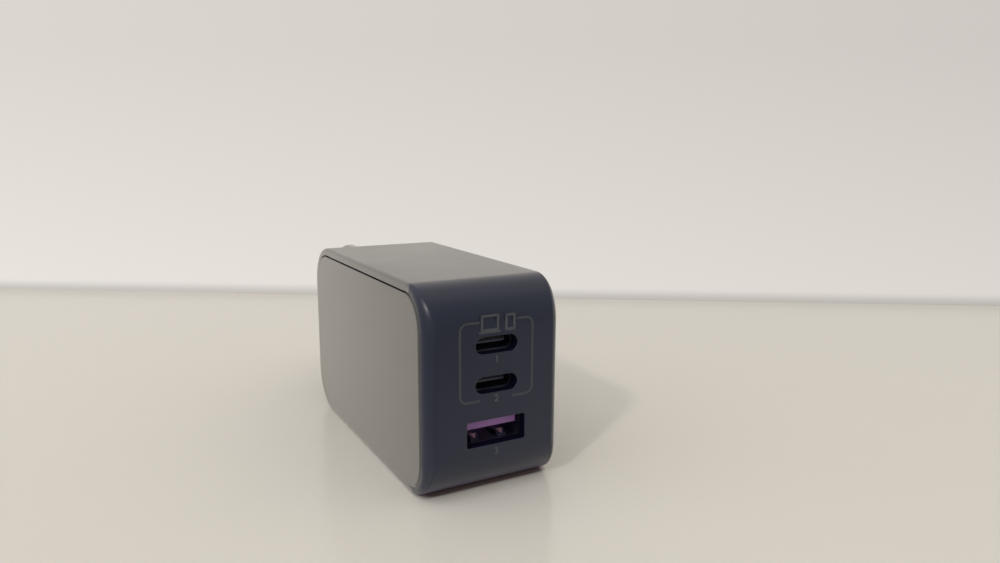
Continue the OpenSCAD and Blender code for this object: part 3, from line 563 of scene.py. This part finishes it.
def make_settled_dust():
    """Specks and a thin film that lie on what faces up."""
    group, given, out = new_group("settled_dust", (("Amount", "Float", 1.0),), (("Mask", "Float"),))
    where = group.nodes.new("ShaderNodeTexCoord").outputs["Object"]
    geometry = group.nodes.new("ShaderNodeNewGeometry")
    axes = group.nodes.new("ShaderNodeSeparateXYZ")
    group.links.new(geometry.outputs["Normal"], axes.inputs[0])
    up = past(group, axes.outputs["Z"], 0.90, 11.0)
    film = past(group, noise_node(group, where, 120.0, 5, 0.6), 0.44, 2.0)
    specks = past(group, noise_node(group, where, 2600.0, 1), 0.71, 5.0)
    both = math_node(group, "MAXIMUM", math_node(group, "MULTIPLY", film, 0.28), specks)
    lying = math_node(group, "MULTIPLY", both, up)
    amount = math_node(group, "MULTIPLY", lying, given.outputs["Amount"], clamp=True)
    group.links.new(amount, out.inputs["Mask"])
    return group


moulded_grain = make_moulded_grain()
tone_drift = make_tone_drift()
settled_dust = make_settled_dust()


# Materials

def new_material(name, **settings):
    material = bpy.data.materials.new(name)
    material.use_nodes = True
    shader = material.node_tree.nodes["Principled BSDF"]
    for label, value in settings.items():
        socket = shader.inputs[label.replace("_", " ")]
        socket.default_value = (*value, 1.0) if isinstance(value, tuple) and len(value) == 3 else value
    return material, material.node_tree, shader


def use_group(tree, group, **values):
    node = tree.nodes.new("ShaderNodeGroup")
    node.node_tree = group
    for label, value in values.items():
        node.inputs[label].default_value = value
    return node.outputs[0]


def mix_colour(tree, mask, a, b):
    node = tree.nodes.new("ShaderNodeMix")
    node.data_type = "RGBA"
    tree.links.new(mask, node.inputs["Factor"])
    for socket, value in ((node.inputs[6], a), (node.inputs[7], b)):
        if isinstance(value, tuple):
            socket.default_value = (*value, 1.0)
        else:
            tree.links.new(value, socket)
    return node.outputs[2]


def mix_float(tree, mask, a, b):
    node = tree.nodes.new("ShaderNodeMix")
    node.data_type = "FLOAT"
    tree.links.new(mask, node.inputs[0])
    for socket, value in ((node.inputs[2], a), (node.inputs[3], b)):
        if isinstance(value, float):
            socket.default_value = value
        else:
            tree.links.new(value, socket)
    return node.outputs[0]


def mix_value(tree, mask, low, high):
    node = tree.nodes.new("ShaderNodeMapRange")
    tree.links.new(mask, node.inputs["Value"])
    node.inputs["To Min"].default_value = low
    node.inputs["To Max"].default_value = high
    return node.outputs["Result"]


def moulded_plastic(name, dark, light, roughness, grain_scale, grain_depth, drift, dust, **settings):
    """Plastic or resin with a fine grain, whose tone and gloss drift between two ends."""
    material, tree, shader = new_material(name, **settings)
    tone = use_group(tree, tone_drift, Scale=drift, Contrast=1.6)
    colour = mix_colour(tree, tone, dark, light)
    if dust:
        lying = use_group(tree, settled_dust, Amount=dust)
        colour = mix_colour(tree, lying, colour, (0.42, 0.41, 0.38))
    tree.links.new(colour, shader.inputs["Base Color"])
    tree.links.new(mix_value(tree, tone, roughness[0], roughness[1]), shader.inputs["Roughness"])
    grain = use_group(tree, moulded_grain, Scale=grain_scale, Depth=grain_depth)
    tree.links.new(grain, shader.inputs["Normal"])
    return material


def sheet_metal(name, colour, roughness, drift):
    """Metal with a fine grain, whose tone and gloss drift a little."""
    material, tree, shader = new_material(name, Metallic=1.0)
    tone = use_group(tree, tone_drift, Scale=drift, Contrast=2.0)
    darker = tuple(c * 0.85 for c in colour)
    tree.links.new(mix_colour(tree, tone, darker, colour), shader.inputs["Base Color"])
    tree.links.new(mix_value(tree, tone, roughness - 0.06, roughness + 0.08), shader.inputs["Roughness"])
    tree.links.new(use_group(tree, moulded_grain, Scale=6000.0, Depth=0.000002), shader.inputs["Normal"])
    return material


def dress(piece, material):
    piece.data.materials.clear()
    piece.data.materials.append(material)


def dress_faces(piece, material, belongs):
    """Gives some of a dressed piece's faces a finish of their own."""
    piece.data.materials.append(material)
    for face in piece.data.polygons:
        if belongs(face.normal, face.center):
            face.material_index = len(piece.data.materials) - 1


def on_flat_rim(normal, centre):
    """The wrap's flat rims above, below and behind the side panels, and their narrow roundings, which take
    the lit copy of the plastic.
    """
    behind_corner = centre.y > BODY_FRONT + FRONT_CORNER - 1.2 * MM
    return behind_corner and abs(normal.x) > 0.3 and abs(centre.x) > BODY_HALF_W - 0.6 * MM


def in_gap_above(normal, centre):
    """Faces on both sides of the gap above a side panel, which take a painted shade."""
    level = abs(normal.x) < 0.6 and abs(normal.z) > 0.9
    beside_panel = abs(centre.x) > 12.9 * MM and centre.y > BODY_FRONT + 5 * MM
    return level and beside_panel and BODY_MID < centre.z < BODY_TOP - 1.2 * MM


def turned_under(normal, centre):
    """The foot, and the last of the lower curves just above the table, which take a painted shade."""
    return normal.z < FOOT_TURN and centre.z < 4 * MM


def low_on_curve(normal, centre):
    """The part of the lower curves that faces the table and rises from it, which takes painted light from
    the table.
    """
    return FOOT_TURN <= normal.z < -0.60 and centre.z < 8 * MM


def in_opening(normal, centre):
    """Walls of the openings in the socket face, which take a painted shade."""
    among_sockets = abs(centre.x) < 7 * MM and 9 * MM < centre.z < 33 * MM
    in_wall = centre.y < BODY_FRONT + WALL + 1 * MM and depth_inside(centre.y, centre.z) < WALL + 0.5 * MM
    return abs(normal.y) < 0.6 and among_sockets and in_wall


wrap_plastic = moulded_plastic("wrap_plastic", (0.0132, 0.0172, 0.0365), (0.0166, 0.0208, 0.0425),
    (0.30, 0.41), 5200.0, 0.0000018, 65.0, 0.35,
    Sheen_Weight=0.75, Sheen_Roughness=0.29, Sheen_Tint=(1.0, 0.97, 0.89))
# Lit copy of the wrap's plastic for the sides: its lighter colour is painted light where the lamp falls on
# them
painted_side_light_plastic = moulded_plastic("painted_side_light_plastic", (0.043, 0.040, 0.044), (0.052, 0.049, 0.052),
    (0.27, 0.33), 5200.0, 0.0000012, 45.0, 0.2,
    Sheen_Weight=1.0, Sheen_Roughness=0.38, Sheen_Tint=(1.0, 0.96, 0.90))
# Painted shade: near-black navy for the gap above the side panels and for the walls of the openings
painted_shade_plastic = moulded_plastic("painted_shade_plastic", (0.0020, 0.0024, 0.0130), (0.0028, 0.0032, 0.0160),
    (0.50, 0.60), 5200.0, 0.0000025, 90.0, 0, Specular_IOR_Level=0.12)
# Painted light: the lower curves are much lighter than the wrap, standing in for light thrown up from the
# table
painted_bounce_plastic = moulded_plastic("painted_bounce_plastic", (0.0850, 0.0780, 0.1250), (0.0960, 0.0880, 0.1380),
    (0.45, 0.52), 5200.0, 0.0000018, 65.0, 0, Specular_IOR_Level=0.40)
# Duller than the wrap and a little darker: the darker colour is painted shade where the body turns under
painted_shade_foot_plastic = moulded_plastic("painted_shade_foot_plastic", (0.0100, 0.0095, 0.0150), (0.0130, 0.0120, 0.0180),
    (0.50, 0.60), 5200.0, 0.0000018, 90.0, 0, Specular_IOR_Level=0.25)
plug_plastic = moulded_plastic("plug_plastic", (0.020, 0.021, 0.026), (0.028, 0.028, 0.033),
    (0.26, 0.33), 4200.0, 0.000003, 90.0, 0.2,
    Sheen_Weight=1.0, Sheen_Roughness=0.36, Sheen_Tint=(1.0, 0.95, 0.93))
sleeve_plastic = moulded_plastic("sleeve_plastic", (0.012, 0.012, 0.013), (0.018, 0.018, 0.019),
    (0.40, 0.50), 4200.0, 0.000003, 120.0, 0)
tongue_plastic = moulded_plastic("tongue_plastic", (0.060, 0.060, 0.090), (0.075, 0.074, 0.108),
    (0.35, 0.45), 6000.0, 0.000002, 300.0, 0)
wide_tongue_plastic = moulded_plastic("wide_tongue_plastic", (0.28, 0.13, 0.36), (0.33, 0.16, 0.42),
    (0.32, 0.42), 6000.0, 0.000002, 300.0, 0)
print_ink = moulded_plastic("print_ink", (0.056, 0.062, 0.072), (0.068, 0.074, 0.084),
    (0.38, 0.48), 6000.0, 0.000002, 400.0, 0)
frame_ink = moulded_plastic("frame_ink", (0.040, 0.047, 0.057), (0.048, 0.056, 0.066),
    (0.38, 0.48), 6000.0, 0.000002, 400.0, 0)
board_resin = moulded_plastic("board_resin", (0.012, 0.10, 0.045), (0.018, 0.13, 0.06),
    (0.30, 0.42), 3000.0, 0.000003, 150.0, 0)
ferrite = moulded_plastic("ferrite", (0.035, 0.035, 0.038), (0.055, 0.054, 0.056),
    (0.55, 0.68), 2500.0, 0.00001, 300.0, 0)
bobbin_plastic = moulded_plastic("bobbin_plastic", (0.60, 0.55, 0.42), (0.68, 0.63, 0.50),
    (0.42, 0.52), 3000.0, 0.000003, 120.0, 0)
coil_tape = moulded_plastic("coil_tape", (0.62, 0.38, 0.04), (0.70, 0.45, 0.06),
    (0.25, 0.35), 1500.0, 0.00001, 200.0, 0)
can_sleeve = moulded_plastic("can_sleeve", (0.015, 0.018, 0.035), (0.022, 0.026, 0.048),
    (0.22, 0.30), 2500.0, 0.000003, 150.0, 0)
film_block = moulded_plastic("film_block", (0.60, 0.42, 0.06), (0.68, 0.50, 0.09),
    (0.28, 0.36), 3000.0, 0.000003, 150.0, 0)
choke_resin = moulded_plastic("choke_resin", (0.03, 0.09, 0.05), (0.04, 0.12, 0.07),
    (0.40, 0.50), 2500.0, 0.000005, 250.0, 0)
chip_resin = moulded_plastic("chip_resin", (0.014, 0.014, 0.015), (0.022, 0.022, 0.023),
    (0.45, 0.55), 4000.0, 0.000004, 250.0, 0)
fuse_coat = moulded_plastic("fuse_coat", (0.30, 0.17, 0.08), (0.36, 0.21, 0.10),
    (0.28, 0.38), 2500.0, 0.000005, 250.0, 0)
pad_rubber = moulded_plastic("pad_rubber", (0.38, 0.38, 0.50), (0.44, 0.44, 0.56),
    (0.60, 0.72), 2500.0, 0.00001, 120.0, 0)
film_sheet = moulded_plastic("film_sheet", (0.68, 0.68, 0.60), (0.74, 0.74, 0.66),
    (0.35, 0.45), 2500.0, 0.000005, 90.0, 0)
# Painted glint: a pale pink colour on the leaves, standing in for the light they catch
painted_glint_plating = moulded_plastic("painted_glint_plating", (0.30, 0.16, 0.21), (0.36, 0.20, 0.26),
    (0.30, 0.40), 6000.0, 0.000002, 900.0, 0)
pin_nickel = sheet_metal("pin_nickel", (0.66, 0.65, 0.62), 0.24, 120.0)
socket_steel = sheet_metal("socket_steel", (0.27, 0.29, 0.40), 0.34, 300.0)
contact_gold = sheet_metal("contact_gold", (0.78, 0.56, 0.28), 0.30, 600.0)
spreader_metal = sheet_metal("spreader_metal", (0.72, 0.72, 0.74), 0.40, 90.0)
bare_can = sheet_metal("bare_can", (0.74, 0.74, 0.76), 0.28, 200.0)
copper_wire = sheet_metal("copper_wire", (0.72, 0.33, 0.14), 0.32, 500.0)

node_finish = {
    "plug_base": plug_plastic,
    "upper_plug_pin": pin_nickel, "lower_plug_pin": pin_nickel,
    "upper_pin_sleeve": sleeve_plastic, "lower_pin_sleeve": sleeve_plastic,
    "upper_pin_contact": contact_gold, "lower_pin_contact": contact_gold,
    "upper_socket_shell": socket_steel, "lower_socket_shell": socket_steel,
    "wide_socket_shell": socket_steel,
    "upper_socket_tongue": tongue_plastic, "lower_socket_tongue": tongue_plastic,
    "wide_socket_tongue": wide_tongue_plastic,
    "upper_socket_contacts": contact_gold, "lower_socket_contacts": contact_gold,
    "wide_socket_contacts": contact_gold,
    "socket_board": board_resin, "main_board": board_resin,
    "transformer_core": ferrite, "transformer_bobbin": bobbin_plastic, "transformer_winding": coil_tape,
    "upper_input_capacitor": can_sleeve, "lower_input_capacitor": can_sleeve, "film_capacitor": film_block,
    "choke_core": choke_resin, "choke_winding": copper_wire,
    "bridge_rectifier": chip_resin, "fuse": fuse_coat,
    "output_capacitors": bare_can, "power_chip": chip_resin, "socket_control_chip": chip_resin,
    "thermal_pad": pad_rubber, "heat_spreader": spreader_metal, "insulating_sheet": film_sheet,
}
for node_name, finish in node_finish.items():
    dress(nodes[node_name], finish)


# Table, wall and light

def rays_that_see(tree):
    """1 for camera and gloss rays, 0 for the rays that light."""
    path = tree.nodes.new("ShaderNodeLightPath")
    return math_node(tree, "MAXIMUM", path.outputs["Is Camera Ray"], path.outputs["Is Glossy Ray"])


def make_table():
    clear_selection()
    bpy.ops.mesh.primitive_plane_add(size=6, location=(0, 0, 0))
    table = bpy.context.object
    table.name = "table"
    material, tree, shader = new_material("table_lacquer", Roughness=0.17, Specular_IOR_Level=0.5)
    tone = use_group(tree, tone_drift, Scale=4.0, Contrast=1.0)
    pale = mix_colour(tree, tone, (0.615, 0.594, 0.555), (0.639, 0.618, 0.579))
    axes = object_axes(tree)
    # Painted contact shadow: darker close under the body, but not along its left side, where the light
    # comes from
    closeness = tree.nodes.new("ShaderNodeAmbientOcclusion")
    closeness.inputs["Distance"].default_value = 0.0013
    openness = past(tree, closeness.outputs["AO"], 0.50, 3.0)
    off_left_side = map_smoothly(tree, axes["X"], (-0.0145, -0.0115))
    shut = math_node(tree, "MULTIPLY", math_node(tree, "SUBTRACT", 1.0, openness), off_left_side)
    with_contact_shadow = mix_colour(tree, math_node(tree, "SUBTRACT", 1.0, shut), (0.30, 0.215, 0.215), pale)
    # Painted shade: darker in reflections on the camera's side, by the distance along its heading, for the
    # dim room where the camera stands
    ahead = math_node(tree, "ADD", math_node(tree, "MULTIPLY", axes["X"], 0.490),
        math_node(tree, "MULTIPLY", axes["Y"], 0.872))
    camera_side = map_smoothly(tree, ahead, (-0.035, -0.088), (0.0, 0.65))
    path = tree.nodes.new("ShaderNodeLightPath")
    shade = math_node(tree, "MULTIPLY", camera_side, path.outputs["Is Glossy Ray"])
    tree.links.new(mix_colour(tree, shade, with_contact_shadow, (0.02, 0.02, 0.03)), shader.inputs["Base Color"])
    dress(table, material)


def make_wall():
    """Pale wall behind the table, along the seam that the photograph shows."""
    left, right = Vector(SEAM_LEFT), Vector(SEAM_RIGHT)
    along = (right - left).normalized()
    foot = (left + right) / 2
    clear_selection()
    bpy.ops.mesh.primitive_plane_add(size=1, location=(foot.x, foot.y, WALL_HEIGHT / 2))
    wall = bpy.context.object
    wall.name = "wall"
    wall.scale = (5, WALL_HEIGHT, 1)
    wall.rotation_euler = (math.pi / 2, 0, math.atan2(along.y, along.x))
    place(wall)
    material, tree, shader = new_material("wall_paint", Base_Color=(0.70, 0.67, 0.62), Roughness=0.9)
    axes = object_axes(tree)
    height = math_node(tree, "DIVIDE", axes["Z"], 0.11, clamp=True)
    sideways = math_node(tree, "MULTIPLY", math_node(tree, "ADD", axes["X"], 0.10), 2.5, clamp=True)
    # Painted light: one plain fall-off, upwards and to the right, in the colour the wall glows with for
    # camera and gloss rays
    away = math_node(tree, "MULTIPLY", math_node(tree, "ADD", height, sideways), 0.5)
    tone = mix_colour(tree, away, (0.815, 0.774, 0.727), (0.612, 0.577, 0.541))
    seen = tree.nodes.new("ShaderNodeEmission")
    tree.links.new(tone, seen.inputs["Color"])
    # Painted shade along the seam: the glow is dimmer at the wall's foot
    tree.links.new(map_smoothly(tree, axes["Z"], (0.0, 0.0055), (0.70, 1.0)), seen.inputs["Strength"])
    plain = tree.nodes.new("ShaderNodeMixShader")
    tree.links.new(rays_that_see(tree), plain.inputs[0])
    tree.links.new(shader.outputs[0], plain.inputs[1])
    tree.links.new(seen.outputs[0], plain.inputs[2])
    geometry = tree.nodes.new("ShaderNodeNewGeometry")
    clear = tree.nodes.new("ShaderNodeBsdfTransparent")
    mix = tree.nodes.new("ShaderNodeMixShader")
    tree.links.new(geometry.outputs["Backfacing"], mix.inputs[0])
    tree.links.new(plain.outputs[0], mix.inputs[1])
    tree.links.new(clear.outputs[0], mix.inputs[2])
    tree.links.new(mix.outputs[0], tree.nodes["Material Output"].inputs["Surface"])
    dress(wall, material)


def make_lamp(name, place_at, aim, size, power, colour):
    data = bpy.data.lights.new(name, "AREA")
    data.shape = "DISK"
    data.size = size
    data.energy = power
    data.color = colour
    lamp = bpy.data.objects.new(name, data)
    bpy.context.scene.collection.objects.link(lamp)
    lamp.location = place_at
    lamp.rotation_euler = (Vector(aim) - Vector(place_at)).to_track_quat("-Z", "Y").to_euler()


def make_light():
    """Room that is bright behind the wall and dim where the camera stands, and a lamp from the left."""
    world = bpy.data.worlds.new("room")
    bpy.context.scene.world = world
    world.use_nodes = True
    tree = world.node_tree
    background = tree.nodes["Background"]
    where = tree.nodes.new("ShaderNodeTexCoord").outputs["Generated"]
    axes = tree.nodes.new("ShaderNodeSeparateXYZ")
    tree.links.new(where, axes.inputs[0])
    lighting = map_smoothly(tree, axes.outputs["Y"], (-0.9, 0.3), (0.70, 1.52))
    # Reflections find the room dimmer on the left and in front
    to_left = math_node(tree, "MINIMUM", axes.outputs["X"], 0.0)
    behind = math_node(tree, "ADD", axes.outputs["Y"], math_node(tree, "MULTIPLY", to_left, 0.6))
    reflected = map_smoothly(tree, behind, (-0.6, 0.75), (0.27, 2.10))
    path = tree.nodes.new("ShaderNodeLightPath")
    unseen = mix_float(tree, path.outputs["Is Glossy Ray"], lighting, reflected)
    strength = mix_float(tree, path.outputs["Is Camera Ray"], unseen, 0.72)
    tree.links.new(strength, background.inputs["Strength"])
    background.inputs["Color"].default_value = (1.0, 0.985, 0.955, 1.0)
    lamp_at = Vector((-43, -28, 39)).normalized() * 1.5
    make_lamp("key_light", lamp_at, (0, 0, 0.02), 0.10, 5.6, (1.0, 0.95, 0.87))


# The scene

make_camera()
wrap = make_wrap()
dress(wrap, wrap_plastic)
# Lit copy of the plastic on the side rims, with painted light
dress_faces(wrap, painted_side_light_plastic, on_flat_rim)
# Painted shade in the gap above each panel and on the walls of the openings
dress_faces(wrap, painted_shade_plastic, in_gap_above)
dress_faces(wrap, painted_shade_plastic, in_opening)
# Painted light from the table on the lower curves
dress_faces(wrap, painted_bounce_plastic, low_on_curve)
# Painted shade where the body turns under onto the table
dress_faces(wrap, painted_shade_foot_plastic, turned_under)
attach(wrap, "root")
for side in (-1, 1):
    panel = make_side_panel(side)
    # Lit copy of the plastic, with painted light on the panel
    dress(panel, painted_side_light_plastic)
    # Painted shade on the panel's edge in the gap above it
    dress_faces(panel, painted_shade_plastic, in_gap_above)
    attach(panel, "root")
for piece in make_print():
    dress(piece, frame_ink if piece.name == "print_frame" else print_ink)
    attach(piece, "root")
# Painted glints on the two leaves of the wide socket
for spot in (make_glint_spot("left_glint_spot", -LEAF_X), make_glint_spot("right_glint_spot", LEAF_X)):
    dress(spot, painted_glint_plating)
    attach(spot, "root")
make_table()
make_wall()
make_light()

bpy.context.scene.view_settings.view_transform = "Standard"
